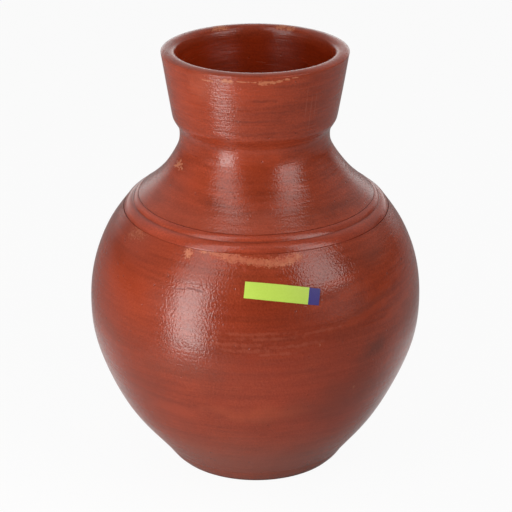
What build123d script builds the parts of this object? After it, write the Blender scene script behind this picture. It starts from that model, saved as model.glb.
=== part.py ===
from build123d import *

import os
from math import cos, degrees, radians, sin

# A terracotta water jar, made in sections that are luted together while the clay is leather
# hard. Millimetres, +Z up, origin in the middle of the foot, and the labelled side faces -Y.
# Every section is turned about the jar's axis, so its drawing gives radius and height.

# Height of each section, from the seam below it to the seam above it
base_height = 10.0
belly_height = 178.6
shoulder_height = 54.4
collar_height = 51.6

# Clay wall of belly and shoulder, square to the surface
wall = 8.5

# Base: a beaten disc whose side leans out to carry the belly
foot_radius = 59.7
foot_spread = 7.6
foot_rounding = 3.5

# Belly: out to the widest ring, then in again to the band
widest_radius = 115.0
widest_rise = 106.7
shoulder_draw_in = 24.0
lower_belly_shares = [(0.45, 0.27), (0.845, 0.636)]

# Shoulder: in to the narrowest ring of the neck, then out a little to the crease
neck_radius = 51.0
neck_below_crease = 6.5
crease_flare = 1.6
shoulder_shares = [(0.42, 0.26), (0.89, 0.70)]

# Band: a strip pressed into a shallow seat over the seam of belly and shoulder
band_below_seam = 4.4
band_above_seam = 4.8
band_draw_in = 10.6
band_seat_depth = 1.6
band_lower_edge = 1.1
band_upper_edge = 0.5
band_crown = 0.8
groove_depth = 0.4
groove_share = 0.61

# Collar: a bevel above the crease, a flared side, and a lip that is flat on top
bevel_rise = 5.2
bevel_flare = 2.9
collar_flare = 7.4
lip_width = 9.6
lip_slope_width = 4.0
lip_slope_drop = 1.6
lip_rounding = 0.8
mouth_rounding = 1.5
throat_bulge = 0.8

# Luted seams: a ridge under the upper section fills a V cut in the lower one, less the slip
notch_depth = 2.6
notch_reach = 2.2
slip_film = 0.2

# Label: a bare paper sticker on the front of the belly, above the widest ring
label_length = 50.0
label_width = 11.0
label_thickness = 0.3
glue_film = 0.1
label_share = 0.645
label_azimuth = 9.5
label_tilt = -9.5

# Where the inner face is set out from the outer one, along each curve of the outline
lower_wall_shares = [0, 0.35, 0.7, 1]
upper_wall_share = 0.5
shoulder_wall_shares = [0.7, 0.4]

# Heights above the ground
belly_seam = base_height
shoulder_seam = belly_seam + belly_height
collar_seam = shoulder_seam + shoulder_height
jar_height = collar_seam + collar_height


def part_way(start, end, shares):
    """The point at these shares of the way from start to end, in radius and in height."""
    radius = start[0] + shares[0] * (end[0] - start[0])
    height = start[1] + shares[1] * (end[1] - start[1])
    return (radius, height)


def across_wall(outline, share):
    """The point inside the wall that is level with this share of an outline."""
    outside = outline @ share
    climb = outline % share
    return (outside.X - wall / climb.Y, outside.Y)


def luting_notch(middle, seam, slip=0):
    """The V cut in a seam, from the inside outwards, or the ridge that fills it less the slip."""
    depth = notch_depth - slip
    reach = notch_reach * depth / notch_depth
    return [(middle - reach, seam), (middle, seam - depth), (middle + reach, seam)]


# The rings that the outline of base, belly and shoulder runs through
base_rim = (foot_radius + foot_spread, belly_seam)
widest = (widest_radius, belly_seam + widest_rise)
band_foot = (widest_radius - shoulder_draw_in, shoulder_seam - band_below_seam)
band_head = (band_foot[0] - band_draw_in, shoulder_seam + band_above_seam)
neck = (neck_radius, collar_seam - neck_below_crease)
crease = (neck_radius + crease_flare, collar_seam)
base_side = (foot_spread, base_height)
band_run = Vector(*band_head) - Vector(*band_foot)
upright = (0, 1)

with BuildLine() as belly_outline:
    lower_belly = Spline(
        base_rim,
        *[part_way(base_rim, widest, shares) for shares in lower_belly_shares],
        widest,
        tangents=[base_side, upright],
    )
    upper_belly = TangentArc(widest, band_foot, tangent=upright)

with BuildLine() as shoulder_outline:
    rising_shoulder = Spline(
        band_head,
        *[part_way(band_head, neck, shares) for shares in shoulder_shares],
        neck,
        tangents=[band_run, upright],
    )
    neck_flare = TangentArc(neck, crease, tangent=upright)

# The seat of the band: a shallow cut along the line between the band's two edges
band_out = Vector(band_run.Y, -band_run.X).normalized()
seat_foot = Vector(*band_foot) - band_out * band_seat_depth
seat_head = Vector(*band_head) - band_out * band_seat_depth
seam_share = band_below_seam / (band_below_seam + band_above_seam)
outline_at_seam = Vector(*band_foot) + band_run * seam_share
seat_at_seam = outline_at_seam - Vector(band_seat_depth / band_out.X, 0)

# Where the inner face of the wall meets each seam
inner_base = across_wall(lower_belly, 0)
inner_shoulder_seam = (outline_at_seam.X - wall / band_run.normalized().Y, shoulder_seam)
inner_crease = across_wall(neck_flare, 1)
base_notch_radius = (inner_base[0] + base_rim[0]) / 2
shoulder_notch_radius = (inner_shoulder_seam[0] + seat_at_seam.X) / 2
collar_notch_radius = (inner_crease[0] + crease[0]) / 2


# Base: the floor and foot, beaten from one lump, with a V cut near its rim
with BuildPart() as base:
    with BuildSketch(Plane.XZ):
        with BuildLine():
            Polyline(
                (0, belly_seam),
                (0, 0),
                (foot_radius, 0),
                base_rim,
                *reversed(luting_notch(base_notch_radius, belly_seam)),
                (0, belly_seam),
            )
        make_face()
    revolve(axis=Axis.Z)
    foot_edge = base.edges().filter_by(GeomType.CIRCLE).sort_by(Axis.Z)[0]
    fillet(foot_edge, foot_rounding)
base.part.label = "base"


# Belly: the wide lower wall, ridged below, cut to a V above and stepped in for the band
with BuildPart() as belly:
    with BuildSketch(Plane.XZ):
        with BuildLine():
            add(lower_belly)
            add(upper_belly)
            Polyline(
                band_foot,
                seat_foot,
                seat_at_seam,
                *reversed(luting_notch(shoulder_notch_radius, shoulder_seam)),
                inner_shoulder_seam,
            )
            Spline(
                *[across_wall(lower_belly, share) for share in lower_wall_shares],
                across_wall(upper_belly, upper_wall_share),
                inner_shoulder_seam,
                tangents=[base_side, band_run],
            )
            Polyline(inner_base, *luting_notch(base_notch_radius, belly_seam, slip_film), base_rim)
        make_face()
    revolve(axis=Axis.Z)
belly.part.label = "belly"


# Shoulder: the upper wall, drawn in to the neck, ridged below and cut to a V above
with BuildPart() as shoulder:
    with BuildSketch(Plane.XZ):
        with BuildLine():
            Polyline(
                inner_shoulder_seam,
                *luting_notch(shoulder_notch_radius, shoulder_seam, slip_film),
                seat_at_seam,
                seat_head,
                band_head,
            )
            add(rising_shoulder)
            add(neck_flare)
            Polyline(
                crease,
                *reversed(luting_notch(collar_notch_radius, collar_seam)),
                inner_crease,
            )
            Spline(
                inner_crease,
                across_wall(neck_flare, 0),
                *[across_wall(rising_shoulder, share) for share in shoulder_wall_shares],
                inner_shoulder_seam,
            )
        make_face()
    revolve(axis=Axis.Z)
shoulder.part.label = "shoulder"


# Band: a strip of clay in its seat, proud of the jar, with two crowns either side of a groove
with BuildPart() as shoulder_band:
    lower_edge = Vector(*band_foot) + band_out * band_lower_edge
    upper_edge = Vector(*band_head) + band_out * band_upper_edge
    groove = Vector(*band_foot) + band_run * groove_share - band_out * groove_depth
    with BuildSketch(Plane.XZ):
        with BuildLine():
            SagittaArc(lower_edge, groove, -band_crown)
            SagittaArc(groove, upper_edge, -band_crown)
            Polyline(upper_edge, seat_head, seat_foot, lower_edge)
        make_face()
    revolve(axis=Axis.Z)
shoulder_band.part.label = "shoulder_band"


# Collar: a thick flared ring with a bevel at its foot and a flat lip, ridged below
with BuildPart() as collar:
    bevel_top = (crease[0] + bevel_flare, collar_seam + bevel_rise)
    lip_radius = bevel_top[0] + collar_flare
    lip_side = (lip_radius, jar_height - lip_slope_drop)
    lip_top = (lip_radius - lip_slope_width, jar_height)
    mouth_edge = (lip_radius - lip_width, jar_height)
    with BuildSketch(Plane.XZ) as collar_section:
        with BuildLine():
            Polyline(crease, bevel_top, lip_side)
            TangentArc(lip_top, lip_side, tangent=(1, 0))
            Line(lip_top, mouth_edge)
            SagittaArc(mouth_edge, inner_crease, throat_bulge)
            Polyline(inner_crease, *luting_notch(collar_notch_radius, collar_seam, slip_film), crease)
        make_face()
        fillet(collar_section.vertices().sort_by_distance(mouth_edge)[0], mouth_rounding)
        fillet(collar_section.vertices().sort_by_distance(lip_side)[0], lip_rounding)
    revolve(axis=Axis.Z)
collar.part.label = "collar"


# Label: a strip of paper bent to the belly above the widest ring, over a film of glue
with BuildPart() as label:
    belly_bend = upper_belly.radius
    bend_centre = (widest[0] - belly_bend, widest[1])
    bend_sweep = degrees(upper_belly.length / belly_bend)
    lean = radians(bend_sweep * label_share)
    facing = radians(label_azimuth)
    middle = upper_belly @ label_share
    along = Vector(cos(facing), sin(facing), 0)
    outward = Vector(sin(facing) * cos(lean), -cos(facing) * cos(lean), sin(lean))
    centre = Vector(middle.X * sin(facing), -middle.X * cos(facing), middle.Y)
    with BuildSketch(Plane.XZ):
        with BuildLine():
            glued_side = CenterArc(bend_centre, belly_bend + glue_film, 0, bend_sweep)
            printed_side = CenterArc(
                bend_centre, belly_bend + glue_film + label_thickness, 0, bend_sweep
            )
            Line(glued_side @ 0, printed_side @ 0)
            Line(glued_side @ 1, printed_side @ 1)
        make_face()
    revolve(axis=Axis.Z)
    with BuildSketch(Plane(centre, x_dir=along, z_dir=outward).rotated((0, 0, label_tilt))):
        Rectangle(label_length, label_width)
    extrude(amount=label_length / 2, both=True, mode=Mode.INTERSECT)
label.part.label = "label"


os.makedirs("parts", exist_ok=True)
export_step(base.part, "parts/base.step")
export_step(belly.part, "parts/belly.step")
export_step(shoulder.part, "parts/shoulder.step")
export_step(shoulder_band.part, "parts/shoulder_band.step")
export_step(collar.part, "parts/collar.step")
export_step(label.part, "parts/label.step")
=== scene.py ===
from math import cos, pi, radians, sin

import bpy
from mathutils import Matrix, Vector


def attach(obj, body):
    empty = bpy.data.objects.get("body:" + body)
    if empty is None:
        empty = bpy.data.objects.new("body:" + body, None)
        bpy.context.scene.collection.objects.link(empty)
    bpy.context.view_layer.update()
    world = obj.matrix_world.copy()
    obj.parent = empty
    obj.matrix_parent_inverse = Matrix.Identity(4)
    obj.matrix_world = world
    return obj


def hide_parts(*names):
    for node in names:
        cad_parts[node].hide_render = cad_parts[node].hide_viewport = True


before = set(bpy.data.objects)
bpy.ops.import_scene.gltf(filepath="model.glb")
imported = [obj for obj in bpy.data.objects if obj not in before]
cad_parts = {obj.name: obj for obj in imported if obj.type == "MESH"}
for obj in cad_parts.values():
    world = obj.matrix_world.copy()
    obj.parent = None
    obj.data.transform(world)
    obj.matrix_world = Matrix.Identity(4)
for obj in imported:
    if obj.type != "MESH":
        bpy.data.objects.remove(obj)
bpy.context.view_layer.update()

bpy.ops.object.select_all(action="DESELECT")
mm = 0.001


# Camera: a little over arm's length in front of the jar and well above it, so that the mouth
# shows as a full oval. A long lens keeps the sides nearly parallel.
camera_place = (0.00025, -1.150, 0.6316)
looking_down = 22.958
bpy.ops.object.camera_add(location=camera_place, rotation=(radians(90 - looking_down), 0, 0))
camera = bpy.context.object
camera.data.lens = 126.22
bpy.context.scene.camera = camera
bpy.context.scene.view_settings.view_transform = "Standard"


# Floor and studio: a white table in a white room that is dark behind the camera, with a narrow
# tall soft light close by on the left and a wider one further off on the right, each in two parts.
bpy.ops.mesh.primitive_plane_add(size=8)
floor = bpy.context.object
floor.name = "white_table"


def put(tree, kind, inputs=(), **settings):
    """A shader node, with its settings and with a value or a link for each input that is named."""
    made = tree.nodes.new("ShaderNode" + kind)
    for setting, value in settings.items():
        setattr(made, setting, value)
    for socket, value in dict(inputs).items():
        if isinstance(value, bpy.types.NodeSocket):
            tree.links.new(value, made.inputs[socket])
        else:
            made.inputs[socket].default_value = value
    return made


def sum_of(tree, operation, *values):
    """The result of one sum on values or links."""
    return put(tree, "Math", dict(enumerate(values)), operation=operation).outputs[0]


def ramp(tree, value, start, end, low=0.0, high=1.0):
    """A value that goes smoothly from low to high while another goes from start to end."""
    ends = {"Value": value, "From Min": start, "From Max": end, "To Min": low, "To Max": high}
    return put(tree, "MapRange", ends, interpolation_type="SMOOTHSTEP").outputs[0]


# The table is plain white to the camera, with a little of the jar's shadow. What the jar mirrors of
# it is a pool of light behind the jar, brightest close by.
table_paint = bpy.data.materials.new("white_table")
table_paint.use_nodes = True
tree = table_paint.node_tree
tree.nodes.clear()
lit = put(tree, "BsdfDiffuse", {"Color": (0.8, 0.8, 0.8, 1)}).outputs[0]
seen = put(tree, "LightPath").outputs
spot = put(tree, "TexCoord").outputs["Object"]
away = put(tree, "VectorMath", {0: spot}, operation="LENGTH").outputs["Value"]
behind = ramp(tree, put(tree, "SeparateXYZ", {0: spot}).outputs[1], -0.08, 0.08)
pool = sum_of(tree, "MULTIPLY", behind, ramp(tree, away, 0.36, 0.2, 0.35, 1.7))
level = put(tree, "Mix", {"Factor": seen["Is Camera Ray"], 2: pool, 3: 1.0}).outputs[0]
bright = put(tree, "Emission", {"Color": (1, 1, 1, 1), "Strength": level}).outputs[0]
plain = sum_of(tree, "MULTIPLY", seen["Is Camera Ray"], 0.94)
mirrored = sum_of(tree, "MULTIPLY", seen["Is Glossy Ray"], 0.3)
share = sum_of(tree, "MAXIMUM", plain, mirrored)
blend = put(tree, "MixShader", {0: share, 1: lit, 2: bright}).outputs[0]
put(tree, "OutputMaterial", {"Surface": blend})
floor.data.materials.append(table_paint)

# The room round it: low down two reflectors in front and a bright backdrop, higher up walls that
# darken towards the camera, and a dim ceiling. To the camera it is white all over.
room = bpy.data.worlds.new("white_room")
bpy.context.scene.world = room
room.use_nodes = True
tree = room.node_tree
tree.nodes.clear()
facing = put(tree, "SeparateXYZ", {0: put(tree, "TexCoord").outputs["Generated"]}).outputs
across_floor = put(tree, "CombineXYZ", {0: facing[0], 1: facing[1]}).outputs[0]
compass = put(tree, "VectorMath", {0: across_floor}, operation="NORMALIZE").outputs[0]
backwards = put(tree, "SeparateXYZ", {0: compass}).outputs[1]
walls = ramp(tree, backwards, -0.6, 0.9, 0.0, 0.48)
off_front = sum_of(tree, "ABSOLUTE", sum_of(tree, "ADD", backwards, 0.5))
reflectors = ramp(tree, off_front, 0.5, 0.05, 0.0, 0.68)
backdrop = ramp(tree, backwards, 0.65, 1.0, 0.0, 1.52)
low_down = sum_of(tree, "ADD", sum_of(tree, "ADD", reflectors, backdrop), 0.05)
wall_height = ramp(tree, facing[2], 0.1, 0.34)
rising = put(tree, "Mix", {"Factor": wall_height, 2: low_down, 3: walls}).outputs[0]
ceiling_height = ramp(tree, facing[2], 0.8, 0.93)
around = put(tree, "Mix", {"Factor": ceiling_height, 2: rising, 3: 0.225}).outputs[0]
seen = put(tree, "LightPath").outputs["Is Camera Ray"]
level = put(tree, "Mix", {"Factor": seen, 2: around, 3: 1.0}).outputs[0]
glow = put(tree, "Background", {"Color": (1, 1, 1, 1), "Strength": level}).outputs[0]
put(tree, "OutputWorld", {"Surface": glow})


def softbox(name, turn, distance, low, high, width, level):
    """An upright soft light that faces the jar, at a turn in degrees to the right of the camera.
    Its distance, lower and upper ends and width are in metres, and its level is how many times
    brighter than white it looks."""
    away = radians(turn)
    middle = Vector((distance * sin(away), -distance * cos(away), (low + high) / 2))
    bpy.ops.object.light_add(type="AREA", location=middle, rotation=(radians(90), 0, away))
    light = bpy.context.object
    light.name = name
    light.data.shape = "RECTANGLE"
    light.data.size = width
    light.data.size_y = high - low
    light.data.energy = level * pi * width * (high - low)
    light.visible_camera = False


softbox("left_softbox", turn=-41, distance=0.48, low=0.0, high=0.35, width=0.165, level=6.6)
softbox("left_softbox_top", turn=-42, distance=0.48, low=0.35, high=1.70, width=0.25, level=2.4)
softbox("right_softbox", turn=50, distance=0.75, low=0.41, high=0.85, width=0.42, level=3.35)
softbox("right_softbox_top", turn=50, distance=0.75, low=0.85, high=1.90, width=0.42, level=2.1)


# Base: a beaten disc of terracotta under the wall, leaning out to carry it. All the clay is wheel
# thrown, luted together wet, brushed with red slip while it turns and rubbed to a soft shine.
around_count = 96

# How the jar wanders off its axis: heights, and the way to the right at each, in mm
drift = [
    (0, 0.3), (10, -0.1), (17, 0.0), (27, -0.6), (52, -1.1), (69, -0.9), (101, -0.4), (117, -0.15),
    (150, 0.1), (190, 0.2), (200, 0.3), (210, 0.3), (222, -0.3), (232, -0.6), (243, -0.5), (295, -0.3),
]

# Inside the mouth the red slip ends at this height and fades over this much, in mm
slip_end, slip_fade = 293, 8


def sideways(height):
    """How far the handmade wall stands to the right of the axis at a height, both in mm."""
    for (low, start), (high, end) in zip(drift, drift[1:]):
        if height <= high:
            break
    return start + (end - start) * min(1, max(0, (height - low) / (high - low)))


hand = bpy.data.textures.new("unsteady_hand", "CLOUDS")
hand.cloud_type = "COLOR"
hand.noise_scale = 0.085
hand.noise_depth = 1


def throw(name, rings, solid=False):
    """Clay drawn up on the wheel. Each ring has its radius and height in mm, how sharp its edge
    is, and how dark a line of painted shade lies in it. A solid lump is capped at both ends, and any
    other wall runs up its outside and down its inside, and is closed. Smoothing draws soft rings in, so
    they are set out a little fuller first."""
    drawn = [tuple(ring) + (0, 0)[: 4 - len(ring)] for ring in rings]
    rings = [drawn[0]]
    for below, ring, above in zip(drawn, drawn[1:], drawn[2:]):
        give = 0 if ring[2] else 1 / 6
        together = zip(ring, below, above)
        fuller = [at + give * (2 * at - before - after) for at, before, after in together]
        rings.append((fuller[0], fuller[1], ring[2], ring[3]))
    rings.append(drawn[-1])
    radius, height = rings[0][:2]
    bpy.ops.mesh.primitive_circle_add(
        vertices=around_count, radius=radius * mm, location=(sideways(height) * mm, 0, height * mm)
    )
    clay = bpy.context.object
    clay.name = name
    clay.data.name = name
    bpy.ops.object.transform_apply(location=True, rotation=True, scale=True)
    bpy.ops.object.mode_set(mode="EDIT")
    if solid:
        bpy.ops.mesh.edge_face_add()
    for last, ring in zip(rings, rings[1:]):
        step = ((sideways(ring[1]) - sideways(last[1])) * mm, 0, (ring[1] - last[1]) * mm)
        bpy.ops.mesh.extrude_edges_move(TRANSFORM_OT_translate={"value": step})
        grow = ring[0] / last[0]
        bpy.ops.transform.resize(
            value=(grow, grow, 1), center_override=(sideways(ring[1]) * mm, 0, ring[1] * mm)
        )
    if solid:
        bpy.ops.mesh.edge_face_add()
    else:
        bpy.ops.mesh.select_all(action="SELECT")
        bpy.ops.mesh.region_to_loop()
        bpy.ops.mesh.bridge_edge_loops()
    bpy.ops.mesh.select_all(action="SELECT")
    bpy.ops.mesh.normals_make_consistent(inside=False)
    bpy.ops.object.mode_set(mode="OBJECT")
    mesh = clay.data
    sharp = mesh.attributes.new("crease_edge", "FLOAT", "EDGE")
    for edge in mesh.edges:
        one, other = (index // around_count for index in edge.vertices)
        if one == other:
            sharp.data[edge.index].value = rings[one][2]
    # How dark each ring is painted, as shade in the grooves and along the edges
    painted_shade = mesh.attributes.new("painted_shade", "FLOAT", "POINT")
    for vertex in mesh.vertices:
        painted_shade.data[vertex.index].value = rings[vertex.index // around_count][3]
    smooth = clay.modifiers.new("smooth", "SUBSURF")
    smooth.levels = smooth.render_levels = 2
    bpy.ops.object.modifier_apply(modifier="smooth")
    wiped = mesh.attributes.new("wiped", "FLOAT", "POINT")
    for vertex in mesh.vertices:
        inwards = -vertex.normal.xy.dot(vertex.co.xy) / vertex.co.xy.length
        facing_in = min(1, max(0, (inwards - 0.1) / 0.4))
        below_slip = min(1, max(0, (slip_end - vertex.co.z / mm) / slip_fade))
        wiped.data[vertex.index].value = facing_in * below_slip
    return clay


def unsteady(clay):
    """The small unevenness of hand work, the same for neighbouring pieces so that they still meet.
    Under the foot and on top of the lip the clay is left flat."""
    strength, foot_top, lip_foot = 0.9 * mm, 3 * mm, 292 * mm
    loose = clay.vertex_groups.new(name="loose")
    free = [v.index for v in clay.data.vertices if foot_top < v.co.z < lip_foot]
    loose.add(free, 1.0, "REPLACE")
    wander = clay.modifiers.new("wander", "DISPLACE")
    wander.texture = hand
    wander.texture_coords = "LOCAL"
    wander.direction = "RGB_TO_XYZ"
    wander.mid_level = 0.5
    wander.strength = strength
    wander.vertex_group = "loose"
    bpy.ops.object.modifier_apply(modifier="wander")
    clay.vertex_groups.clear()
    bpy.ops.object.shade_smooth_by_angle(angle=radians(40))
    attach(clay, "root")


def seen_as(red, green, blue):
    """A colour as it looks on a screen, 0 to 255, turned into the light it reflects."""
    light = []
    for part in (red / 255, green / 255, blue / 255):
        light.append(part / 12.92 if part <= 0.04045 else ((part + 0.055) / 1.055) ** 2.4)
    return tuple(light) + (1,)


def group(name, inputs, outputs):
    """An empty node group with its named inputs and outputs."""
    made = bpy.data.node_groups.new(name, "ShaderNodeTree")
    for label, value in inputs.items():
        kind = "NodeSocketColor" if isinstance(value, tuple) else "NodeSocketFloat"
        made.interface.new_socket(label, in_out="INPUT", socket_type=kind).default_value = value
    for label, kind in outputs.items():
        made.interface.new_socket(label, in_out="OUTPUT", socket_type=kind)
    return made, made.nodes.new("NodeGroupInput").outputs, made.nodes.new("NodeGroupOutput").inputs


# Streaks left by the wheel: noise drawn out round the jar, with no seam at the back
streaks, given, out = group(
    "wheel_streaks",
    {"Length": 60.0, "Width": 1.5, "Shift": 0.0, "Detail": 3.0},
    {"Value": "NodeSocketFloat"},
)
place = put(streaks, "SeparateXYZ", {0: put(streaks, "TexCoord").outputs["Object"]})
flat = put(streaks, "CombineXYZ", {0: place.outputs[0], 1: place.outputs[1]})
ring = put(streaks, "VectorMath", {0: flat.outputs[0]}, operation="NORMALIZE")
round_it = sum_of(streaks, "DIVIDE", 100.0, given["Length"])
drawn = put(streaks, "VectorMath", {0: ring.outputs[0], "Scale": round_it}, operation="SCALE")
climb = sum_of(streaks, "DIVIDE", sum_of(streaks, "MULTIPLY", place.outputs[2], 1000.0), given["Width"])
lift = put(streaks, "CombineXYZ", {0: given["Shift"], 2: climb})
spot = put(streaks, "VectorMath", {0: drawn.outputs[0], 1: lift.outputs[0]}, operation="ADD")
noise = put(streaks, "TexNoise", {"Vector": spot.outputs[0], "Scale": 1.0, "Detail": given["Detail"]})
streaks.links.new(ramp(streaks, noise.outputs[0], 0.28, 0.72), out["Value"])

# Clouds of smoke and of thicker slip, as the brush and the fire left them
clouds, given, out = group(
    "fire_clouds", {"Size": 60.0, "Flat": 1.5, "Shift": 0.0, "Soft": 0.12}, {"Value": "NodeSocketFloat"}
)
near = put(clouds, "TexCoord").outputs["Object"]
shape = put(clouds, "CombineXYZ", {0: 1.0, 1: 1.0, 2: given["Flat"]}).outputs[0]
pressed = put(clouds, "VectorMath", {0: near, 1: shape}, operation="MULTIPLY").outputs[0]
shift = put(clouds, "CombineXYZ", {0: given["Shift"]}).outputs[0]
moved = put(clouds, "VectorMath", {0: pressed, 1: shift}).outputs[0]
scale = sum_of(clouds, "DIVIDE", 1000.0, given["Size"])
noise = put(clouds, "TexNoise", {"Vector": moved, "Scale": scale, "Detail": 5.0, "Distortion": 0.4})
least = sum_of(clouds, "SUBTRACT", 0.5, given["Soft"])
most = sum_of(clouds, "ADD", 0.5, given["Soft"])
clouds.links.new(ramp(clouds, noise.outputs[0], least, most), out["Value"])

# One mark on the jar: an oval, placed by its turn from the front and its height in mm. Rag pushes
# its edge in and out, and Soft is how far the edge fades.
mark, given, out = group(
    "mark",
    {
        "Turn": 0.0,
        "Height": 100.0,
        "Half Length": 5.0,
        "Half Width": 2.0,
        "Slope": 0.0,
        "Rag": 0.0,
        "Soft": 0.25,
    },
    {"Mask": "NodeSocketFloat"},
)
place = put(mark, "SeparateXYZ", {0: put(mark, "TexCoord").outputs["Object"]})
turn = sum_of(mark, "ARCTAN2", place.outputs[0], sum_of(mark, "MULTIPLY", place.outputs[1], -1.0))
from_turn = sum_of(mark, "SUBTRACT", turn, sum_of(mark, "RADIANS", given["Turn"]))
flat = put(mark, "CombineXYZ", {0: place.outputs[0], 1: place.outputs[1]})
radius = put(mark, "VectorMath", {0: flat.outputs[0]}, operation="LENGTH").outputs["Value"]
along = sum_of(mark, "MULTIPLY", sum_of(mark, "MULTIPLY", from_turn, radius), 1000.0)
level = sum_of(mark, "SUBTRACT", sum_of(mark, "MULTIPLY", place.outputs[2], 1000.0), given["Height"])
across = sum_of(mark, "SUBTRACT", level, sum_of(mark, "MULTIPLY", along, given["Slope"]))
one_way = sum_of(mark, "DIVIDE", along, given["Half Length"])
other_way = sum_of(mark, "DIVIDE", across, given["Half Width"])
both_ways = put(mark, "CombineXYZ", {0: one_way, 1: other_way}).outputs[0]
far = put(mark, "VectorMath", {0: both_ways}, operation="LENGTH").outputs["Value"]
edge = sum_of(mark, "ADD", far, given["Rag"])
faded = sum_of(mark, "ADD", 1.0, given["Soft"])
full = sum_of(mark, "SUBTRACT", 1.0, given["Soft"])
mark.links.new(ramp(mark, edge, faded, full), out["Mask"])

# The slip coat itself: its two reds in washes and brush strokes, the smoke over them, pores, and the
# skin that the burnishing left. Peel is how deep its dimples are and Lines how deep the fine rings
# of the rubbing stone, both in mm.
coat, given, out = group(
    "slip_coat",
    {
        "Bright Slip": seen_as(173, 69, 40),
        "Deep Slip": seen_as(146, 53, 29),
        "Smoke": seen_as(130, 64, 46),
        "Smoke Amount": 0.5,
        "Peel": 0.19,
        "Lines": 0.04,
    },
    {"Color": "NodeSocketColor", "Roughness": "NodeSocketFloat", "Height": "NodeSocketFloat"},
)


def placed(tree, shared, **values):
    """A shared effect placed in a tree, with its own values for it."""
    inputs = {label.replace("_", " "): value for label, value in values.items()}
    return put(tree, "Group", inputs, node_tree=shared).outputs


def blended(tree, factor, under, over, **settings):
    """Two colours mixed. A Mix node takes colours at its inputs 6 and 7, and numbers at 2 and 3."""
    return put(tree, "Mix", {"Factor": factor, 6: under, 7: over}, data_type="RGBA", **settings).outputs[2]


near = put(coat, "TexCoord").outputs["Object"]
broad = placed(coat, clouds, Size=70.0, Flat=1.8, Shift=0.3, Soft=0.25)["Value"]
patchy = placed(coat, clouds, Size=16.0, Flat=1.6, Shift=5.1, Soft=0.3)["Value"]
brushed = placed(coat, streaks, Length=64.0, Width=4.6, Shift=3.0, Detail=7.0)["Value"]
fine = placed(coat, streaks, Length=30.0, Width=1.5, Shift=7.0, Detail=4.0)["Value"]
speckle = put(coat, "TexNoise", {"Vector": near, "Scale": 900.0, "Detail": 3.0}).outputs[0]
washes = sum_of(coat, "MULTIPLY", broad, 0.32)
washes = sum_of(coat, "ADD", washes, sum_of(coat, "MULTIPLY", patchy, 0.26))
mixture = sum_of(coat, "ADD", washes, sum_of(coat, "MULTIPLY", brushed, 0.42))
reds = blended(coat, mixture, given["Deep Slip"], given["Bright Slip"])
smoky = placed(coat, clouds, Size=90.0, Flat=1.5, Shift=1.7, Soft=0.2)["Value"]
ragged = sum_of(coat, "MULTIPLY", smoky, ramp(coat, brushed, 0.1, 0.8, 1.0, 0.5))
smoked = blended(coat, sum_of(coat, "MULTIPLY", ragged, given["Smoke Amount"]), reds, given["Smoke"])
lines = ramp(coat, fine, 0.0, 1.0, 0.93, 1.07)
grain = ramp(coat, speckle, 0.25, 0.75, 0.84, 1.16)
marked = sum_of(coat, "MULTIPLY", lines, grain)
lined = blended(coat, 1.0, smoked, marked, blend_type="MULTIPLY")
pores = put(coat, "TexVoronoi", {"Vector": near, "Scale": 230.0})
rare = put(coat, "SeparateColor", {0: pores.outputs["Color"]}).outputs[0]
hole = ramp(coat, pores.outputs["Distance"], 0.19, 0.08)
pitted = sum_of(coat, "MULTIPLY", hole, sum_of(coat, "GREATER_THAN", rare, 0.9))
dotted = blended(coat, sum_of(coat, "MULTIPLY", pitted, 0.35), lined, seen_as(96, 36, 24))
coat.links.new(dotted, out["Color"])
coat.links.new(ramp(coat, brushed, 0.0, 1.0, 0.15, 0.22), out["Roughness"])
squeezed = put(coat, "Mapping", {"Vector": near, "Scale": (800.0, 800.0, 580.0)})
peel = put(coat, "TexNoise", {"Vector": squeezed.outputs[0], "Scale": 1.0, "Detail": 1.0}).outputs[0]
peel_up = sum_of(coat, "MULTIPLY", peel, given["Peel"])
line_up = sum_of(coat, "MULTIPLY", fine, given["Lines"])
throwing = placed(coat, streaks, Length=170.0, Width=15.0, Shift=11.0, Detail=1.0)["Value"]
rings_up = sum_of(coat, "MULTIPLY", throwing, 0.12)
relief = sum_of(coat, "ADD", sum_of(coat, "ADD", peel_up, line_up), rings_up)
pits = sum_of(coat, "MULTIPLY", pitted, 0.25)
coat.links.new(sum_of(coat, "SUBTRACT", relief, pits), out["Height"])


def layer(tint, strength, marks, rougher=0.0, sunk=0.0, ragged=0.3, grain=20, soft=0.8):
    """One layer of marks: its tint, how strong it is, how much rougher the clay is there, how deep
    it is sunk in mm, how ragged its edges are, the size of the rags in mm and how far they fade.
    Each mark has its turn from the front, its height, half length and half width in mm, and its
    slope."""
    return tint, strength, marks, rougher, sunk, ragged, grain, soft


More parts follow.
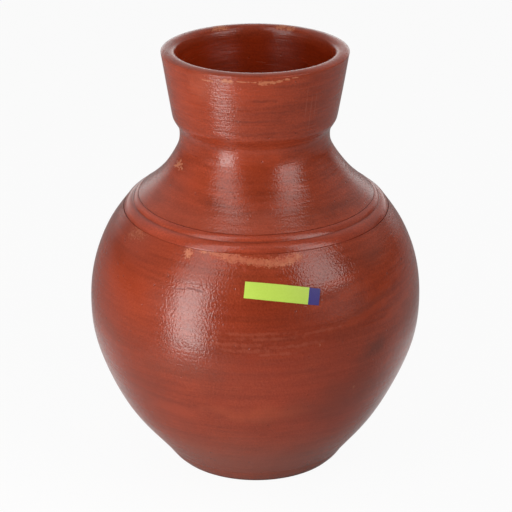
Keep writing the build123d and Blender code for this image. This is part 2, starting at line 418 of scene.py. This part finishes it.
def clay_finish(name, layers, **values):
    """Burnished clay for one piece: the slip coat, then layers of marks over it. Inside the jar the
    clay was only wiped, so it is deeper and duller, and painted shade darkens the rings marked for it."""
    made = bpy.data.materials.new(name)
    made.use_nodes = True
    tree = made.node_tree
    shader = tree.nodes["Principled BSDF"]
    near = put(tree, "TexCoord").outputs["Object"]
    slip = placed(tree, coat, **values)
    colour, rough, height = slip["Color"], slip["Roughness"], slip["Height"]
    for tint, strength, marks, rougher, sunk, ragged, grain, soft in layers:
        torn = put(tree, "TexNoise", {"Vector": near, "Scale": 1000 / grain, "Detail": 3.0}).outputs[0]
        rag = sum_of(tree, "MULTIPLY", sum_of(tree, "SUBTRACT", torn, 0.5), ragged * 6)
        covered = None
        for turn, up, half_length, half_width, slope in marks:
            one = placed(
                tree,
                mark,
                Turn=turn,
                Height=up,
                Half_Length=half_length,
                Half_Width=half_width,
                Slope=slope,
                Rag=rag,
                Soft=soft,
            )["Mask"]
            covered = one if covered is None else sum_of(tree, "MAXIMUM", covered, one)
        colour = blended(tree, sum_of(tree, "MULTIPLY", covered, strength), colour, seen_as(*tint))
        rough = sum_of(tree, "ADD", rough, sum_of(tree, "MULTIPLY", covered, rougher))
        height = sum_of(tree, "SUBTRACT", height, sum_of(tree, "MULTIPLY", covered, sunk))
    dull = put(tree, "Attribute", attribute_name="wiped").outputs["Fac"]
    rough = sum_of(tree, "ADD", rough, sum_of(tree, "MULTIPLY", dull, 0.06))
    deeper = (0.82, 0.46, 0.12, 1)
    colour = blended(tree, dull, colour, deeper, blend_type="MULTIPLY")
    height = sum_of(tree, "MULTIPLY", height, ramp(tree, dull, 0.0, 1.0, 1.0, 0.3))
    # Painted shade: the rings marked for it are darkened towards deep brown.
    painted_shade_mask = put(tree, "Attribute", attribute_name="painted_shade").outputs["Fac"]
    shaded_colour = blended(tree, sum_of(tree, "MULTIPLY", painted_shade_mask, 0.7), colour, seen_as(92, 40, 30))
    tree.links.new(shaded_colour, shader.inputs["Base Color"])
    tree.links.new(rough, shader.inputs["Roughness"])
    relief = sum_of(tree, "MULTIPLY", height, mm)
    bump = put(tree, "Bump", {"Height": relief, "Distance": 1.0, "Strength": 1.0})
    tree.links.new(bump.outputs[0], shader.inputs["Normal"])
    return made


base = throw(
    "jar_base",
    [
        (6, 0), (55.5, 0.03), (57.9, 0.15), (59.7, 0.6), (61.3, 1.7), (63.3, 4.1), (65.7, 7.5),
        (67.1, 9.7, 0.6), (67.2, 10, 1), (64.1, 10, 1), (61.96, 7.4, 1), (59.8, 10, 1), (55, 10), (6, 10),
    ],
    solid=True,
)
unsteady(base)
# The foot's grey is partly the clay's own tone and partly a painted reflection of the white table.
foot_grey_and_table_sheen = (154, 88, 70)
base_marks = [layer(foot_grey_and_table_sheen, 0.55, [(0, 4, 400, 40, 0)], ragged=0.2)]
base.data.materials.append(clay_finish("base_clay", base_marks))
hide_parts("base")


# Belly: the round lower wall of the jar, thrown on the wheel, set on the base with slip and swelling
# out to the widest ring. Its top is stepped in for the band and cut to a V for the shoulder.
belly = throw(
    "jar_belly",
    [
        (67.4, 10, 1), (75.3, 20), (84.8, 32), (92.6, 44), (99.4, 57), (105.5, 71), (110.8, 86),
        (113.95, 101), (114.7, 116.7), (113.8, 132), (110.7, 147), (106.0, 160), (99.9, 172),
        (91.0, 184.2, 1), (89.95, 183, 1), (83.5, 188.6, 1), (80.4, 188.6, 1), (78.2, 186, 1),
        (76, 188.6, 1), (73, 188.6, 1), (82, 180), (91.7, 168), (98.6, 156), (103.4, 144),
        (106.3, 130), (106.9, 116.7), (105.2, 101), (101.2, 84), (95, 67.5), (87, 52), (77.3, 37),
        (66.4, 22.5), (56.6, 10, 1), (59.8, 10, 1), (62, 7.6, 1), (64.1, 10, 1),
    ],
)
unsteady(belly)
peach, dark_slip, bare_red = (203, 122, 84), (104, 44, 30), (184, 72, 40)
belly_marks = [
    # Broad tones: deeper slip at the left, painted shade in the middle of the front, a foot greyed
    # partly in its own clay and partly by a painted reflection of the table, and redder slip low down
    layer((130, 50, 30), 0.55, [(-60, 105, 72, 66, 0)], grain=40),
    # Painted shade on the front of the belly, between the two lights' highlights
    layer((128, 40, 16), 0.4, [(7, 140, 56, 26, 0)]),
    layer(foot_grey_and_table_sheen, 0.55, [(0, 12, 300, 30, 0)], ragged=0.2),
    layer((186, 66, 38), 0.27, [(18, 84, 42, 42, 0)]),
    layer((124, 50, 32), 0.3, [(-42, 78, 30, 28, 0)]),
    layer(bare_red, 0.3, [(-55, 150, 24, 13, -0.1), (-30, 72, 16, 5, 0)], ragged=0.35, grain=22),
    layer((192, 84, 50), 0.45, [(2.2, 77.5, 24, 5.5, 0)], ragged=0.4, grain=14),
    # Brush strokes on the right, where the red shows through
    layer(
        bare_red,
        0.5,
        [
            (36, 157, 24, 2.6, 0.12), (50, 151, 22, 3.0, 0.16), (40, 140, 26, 2.4, 0.14),
            (55, 134, 16, 2.6, 0.18), (33, 165, 12, 2.0, 0.1),
        ],
        ragged=0.5,
        grain=9,
        soft=0.7,
    ),
    # Smoke from the firing, a dark cloud of it on the right, and a bare corner below that cloud
    layer(
        (124, 58, 40),
        0.35,
        [
            (-60, 118, 24, 4.5, -0.28), (50, 173, 15, 5, 0.1), (44, 146, 22, 2.6, 0.14),
            (30, 82, 30, 14, 0.1), (-24, 108, 24, 5, 0), (70, 120, 30, 16, 0.2),
        ],
        ragged=0.4,
        grain=14,
        soft=0.9,
    ),
    layer((92, 56, 46), 0.5, [(42.5, 113.5, 11, 6, 0.2)], grain=10, soft=0.9),
    layer((168, 62, 30), 0.85, [(51.2, 100.2, 5, 2.4, 0.5)], ragged=0.1, grain=5, soft=0.5),
    # Thin pale rings where the rubbing stone went over the front
    layer(
        (182, 92, 68),
        0.3,
        [
            (-9, 130.5, 16, 1.1, 0.01), (4, 134.5, 20, 0.9, 0), (14, 129, 13, 1.0, 0.02),
            (-3, 126.5, 12, 1.2, 0), (-4, 137.5, 20, 0.8, 0), (22, 136.5, 12, 0.8, 0.03),
            (8, 124, 10, 0.9, 0), (-16, 134, 9, 0.9, 0),
        ],
        ragged=0.8,
        grain=3.5,
        soft=0.9,
    ),
    # Slip that has flaked away under the band, the red edge round it, and faint flecks elsewhere
    layer(
        (205, 122, 86),
        0.85,
        [
            (-27.6, 181.4, 2.6, 2.2, 0), (-21.5, 183.6, 2.6, 1.0, 0), (-16.6, 183.2, 4.6, 1.4, -0.05),
            (-12, 182.5, 3.4, 2.0, -0.1), (-8.6, 181.5, 3.4, 2.2, 0), (-5.2, 181.0, 4, 1.5, -0.1),
            (-1.8, 180.3, 5, 1.5, 0), (2.2, 179.8, 4.4, 1.7, 0), (5.4, 179.5, 4.4, 2.0, 0),
            (9.4, 179.6, 4.8, 2.2, 0), (13.6, 180.4, 4.4, 2.3, 0.1), (16.8, 181.5, 2.6, 1.8, 0),
        ],
        rougher=0.15,
        sunk=0.03,
        ragged=0.65,
        grain=1.2,
        soft=0.5,
    ),
    layer(
        bare_red,
        0.45,
        [(-6, 181.5, 24, 3.5, -0.05), (12, 181, 12, 3.2, 0.05)],
        rougher=0.1,
        ragged=0.8,
        grain=3,
    ),
    layer(
        peach,
        0.24,
        [
            (-56.9, 183, 5.5, 3, 0), (-60, 180, 3, 2, 0), (21.3, 127.6, 0.9, 0.8, 0),
            (35.5, 89, 0.9, 0.8, 0),
        ],
        rougher=0.1,
        ragged=1.0,
        grain=1.4,
        soft=0.9,
    ),
    # A fine crack in the slip on the left, and a few dark pits near both sides
    layer(
        (122, 44, 28),
        0.85,
        [
            (-27.2, 161.3, 3.4, 0.45, 0.12), (-23.4, 162.6, 3.6, 0.55, -0.02),
            (-20, 162.0, 3.0, 0.75, -0.1), (80, 156.3, 1.1, 1.4, 0), (66.8, 160.2, 1.3, 0.9, 0),
            (-76, 160, 0.5, 2.2, 0),
        ],
        rougher=0.2,
        sunk=0.05,
        ragged=0.25,
        grain=2.5,
        soft=0.5,
    ),
]
belly.data.materials.append(clay_finish("belly_clay", belly_marks))
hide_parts("belly")


# Shoulder: the upper wall, drawn in steeply to the neck and out again a little to the crease. It was
# thrown apart and luted on with a ridge in the belly's V.
shoulder = throw(
    "jar_shoulder",
    [
        (83.5, 188.6, 1), (79.35, 192.2, 1), (80.4, 193.4, 1), (75.1, 198), (68.5, 204), (62.8, 210.5),
        (58.1, 217), (54.4, 223), (51.8, 228.5), (50.95, 233), (50.9, 237), (51.4, 240.3),
        (52.6, 243, 1), (50, 243, 1), (47.8, 240.4, 1), (45.6, 243, 1), (43, 243, 1), (42.5, 239),
        (42.6, 234), (43.4, 228), (45.3, 222), (48.2, 216), (52.1, 210), (57.1, 204), (62.9, 198),
        (69.2, 192), (73, 188.6, 1), (76, 188.6, 1), (78.2, 186.2, 1), (80.4, 188.6, 1),
    ],
)
unsteady(shoulder)
shoulder_marks = [
    layer(
        peach,
        0.8,
        [
            (-66.5, 221.6, 1.0, 2.2, 0), (-66.3, 220.0, 3.2, 0.8, 0.5), (-66.6, 219.8, 3.4, 0.8, -0.35),
            (-61, 219.6, 2.4, 0.6, -0.3), (-70, 218.6, 2.0, 0.8, 0.2),
        ],
        rougher=0.2,
        sunk=0.07,
        ragged=0.6,
        grain=1.4,
        soft=0.4,
    ),
    layer(bare_red, 0.4, [(-2, 234, 20, 7, 0), (-45, 214, 14, 5, 0)], ragged=0.4, grain=12),
    layer((180, 84, 60), 0.3, [(-10, 197, 50, 5, 0)], rougher=0.04, grain=8),
    # Painted shade: the front of the neck darker between the two lights' highlights
    layer((122, 42, 20), 0.4, [(2, 222, 11, 13, 0)], ragged=0.2, grain=12),
    layer(
        dark_slip,
        0.3,
        [(60, 200, 20, 3, 0), (-20, 206, 14, 1.2, 0)],
        ragged=0.4,
        grain=6,
        soft=0.6,
    ),
]
shoulder_clay = clay_finish("shoulder_clay", shoulder_marks, Smoke_Amount=0.4, Peel=0.16, Lines=0.08)
shoulder.data.materials.append(shoulder_clay)
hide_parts("shoulder")


# Shoulder band: a strip of clay pressed over the seam of belly and shoulder, scored round with a
# groove. Painted shade darkens the groove and both edges.
band = throw(
    "jar_shoulder_band",
    [
        # The fourth number of a ring is how dark painted shade lies in it, deepest in the groove.
        (89.95, 183, 1, 0.1), (90.8, 184.25, 0.2, 0.12), (90.3, 185.1, 0, 0.1), (89.5, 186.25),
        (88.3, 187.6), (86.8, 188.75), (85.3, 189.35, 0, 0.2), (84.4, 189.6, 0.3, 0.7),
        (84.0, 190.4, 0, 0.2), (83.1, 191.7), (81.8, 192.75), (80.5, 193.4, 0.3, 0.15),
        (79.4, 192.2, 1, 0.2), (83.5, 188.6, 1),
    ],
)
unsteady(band)
band_reds = {"Bright_Slip": seen_as(184, 76, 48), "Deep_Slip": seen_as(160, 60, 38)}
band_marks = [
    layer(
        (206, 142, 120), 0.6, [(97, 190.5, 3, 1.0, 0)], rougher=0.2, ragged=0.5, grain=1.5, soft=0.5
    )
]
band_clay = clay_finish("band_clay", band_marks, Smoke_Amount=0.3, Peel=0.12, Lines=0.05, **band_reds)
band.data.materials.append(band_clay)
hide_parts("shoulder_band")


# Collar: a thick ring of clay that flares to the mouth, luted on the neck over a sharp crease, with
# a bevel at its foot and a flat lip whose outer edge slopes away.
collar = throw(
    "jar_collar",
    [
        (52.6, 243, 1), (54.5, 246), (55.4, 247.9), (56.0, 250.4), (57.3, 258), (59.5, 271),
        (61.5, 284), (62.7, 291.6), (62.8, 293.1, 0.3), (61.2, 294.1), (58.9, 294.5), (56.8, 294.5),
        (55.2, 294.1), (54.0, 293.2), (53.1, 291.7), (52.4, 288.9), (51.4, 282), (48.9, 268),
        (46, 255), (43, 243, 1), (45.6, 243, 1), (47.8, 240.6, 1), (50, 243, 1),
    ],
)
unsteady(collar)
collar_marks = [
    layer(bare_red, 0.35, [(-45, 272, 16, 12, 0), (2, 280, 22, 5, 0)], ragged=0.4, grain=14),
    # Painted shade: the front of the collar darker between the two lights' highlights
    layer((124, 42, 18), 0.18, [(3, 264, 18, 14, 0)], grain=12, soft=0.9),
    # Painted highlight: a lighter patch at the upper left of the collar, where the left light's reflection
    # reaches up towards the lip
    layer((198, 102, 76), 0.35, [(-33, 284, 9, 8, 0)], grain=10, soft=0.9),
    layer(
        (112, 46, 30),
        0.5,
        [(4, 276.5, 7, 0.8, 0), (-6, 262, 12, 0.7, 0), (14, 268, 9, 0.7, 0)],
        ragged=0.5,
        grain=4,
        soft=0.6,
    ),
    layer(
        (176, 92, 70),
        0.4,
        [(33.5, 272, 0.4, 9, 0), (37.5, 267, 0.45, 13, 0), (41, 270, 0.4, 8, 0)],
        ragged=0.5,
        grain=3,
        soft=0.6,
    ),
    # Slip worn off round the lip
    layer(
        peach,
        0.8,
        [
            (-29, 288.7, 4.5, 0.35, 0), (-17, 289.6, 4.4, 1.2, 0), (-7.5, 290.1, 3, 0.4, 0),
            (-1, 289.9, 1.6, 0.4, 0), (4.3, 289.3, 3.4, 1.2, 0), (9.4, 289.6, 3, 1.0, 0),
            (13.8, 290.3, 2.5, 0.9, 0), (18.3, 291.0, 2, 0.7, 0), (24, 291.6, 1.6, 0.4, 0),
            (-153, 294.0, 5, 1.2, 0), (161, 294.0, 3.5, 1.2, 0), (154, 293.6, 3, 1.0, 0),
        ],
        rougher=0.2,
        sunk=0.05,
        ragged=0.6,
        grain=1.4,
        soft=0.45,
    ),
]
collar_clay = clay_finish("collar_clay", collar_marks, Smoke_Amount=0.3, Peel=0.15, Lines=0.11)
collar.data.materials.append(collar_clay)
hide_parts("collar")


# Label: a small bare paper sticker, lime green with a dark blue end, pressed by hand on the front
# of the belly and a little crooked.
label_size = Vector((50, 11)) * mm
label_turn = radians(9.5)
label_lean = radians(25.2)
label_tilt = radians(-9.5)
label_middle = Vector((104.8, 162.3)) * mm  # radius and height
face_out = Matrix.Rotation(label_turn, 4, "Z") @ Matrix.Rotation(radians(90) - label_lean, 4, "X")
turned = (face_out @ Matrix.Rotation(label_tilt, 4, "Z")).to_euler()
middle = (label_middle.x * sin(label_turn), -label_middle.x * cos(label_turn), label_middle.y)
bpy.ops.object.select_all(action="DESELECT")
bpy.ops.mesh.primitive_grid_add(
    x_subdivisions=60, y_subdivisions=14, size=1, location=middle, rotation=turned
)
label = bpy.context.object
label.name = "jar_label"
label.scale = (label_size.x, label_size.y, 1)
bpy.ops.object.transform_apply(location=True, rotation=True, scale=True)
cling = label.modifiers.new("cling", "SHRINKWRAP")
cling.target = belly
cling.wrap_method = "NEAREST_SURFACEPOINT"
cling.wrap_mode = "ABOVE_SURFACE"
cling.offset = 0.12 * mm
bpy.ops.object.modifier_apply(modifier="cling")
sheet = label.modifiers.new("sheet", "SOLIDIFY")
sheet.thickness = 0.2 * mm
sheet.offset = 1
bpy.ops.object.modifier_apply(modifier="sheet")
bpy.ops.object.shade_smooth_by_angle(angle=radians(40))
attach(label, "root")
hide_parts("label")

paper = bpy.data.materials.new("label_paper")
paper.use_nodes = True
tree = paper.node_tree
shader = tree.nodes["Principled BSDF"]
on_paper = put(tree, "TexCoord").outputs
across = put(tree, "SeparateXYZ", {0: on_paper["UV"]}).outputs[0]
blue_end = sum_of(tree, "GREATER_THAN", across, 0.845)
tooth = {"Vector": on_paper["Object"], "Scale": 900.0, "Detail": 2.0}
paper_tooth = put(tree, "TexNoise", tooth).outputs[0]
lime = blended(tree, paper_tooth, seen_as(196, 226, 84), seen_as(207, 236, 98))
inks = blended(tree, blue_end, lime, seen_as(62, 52, 132))
tree.links.new(inks, shader.inputs["Base Color"])
shader.inputs["Roughness"].default_value = 0.42
label.data.materials.append(paper)
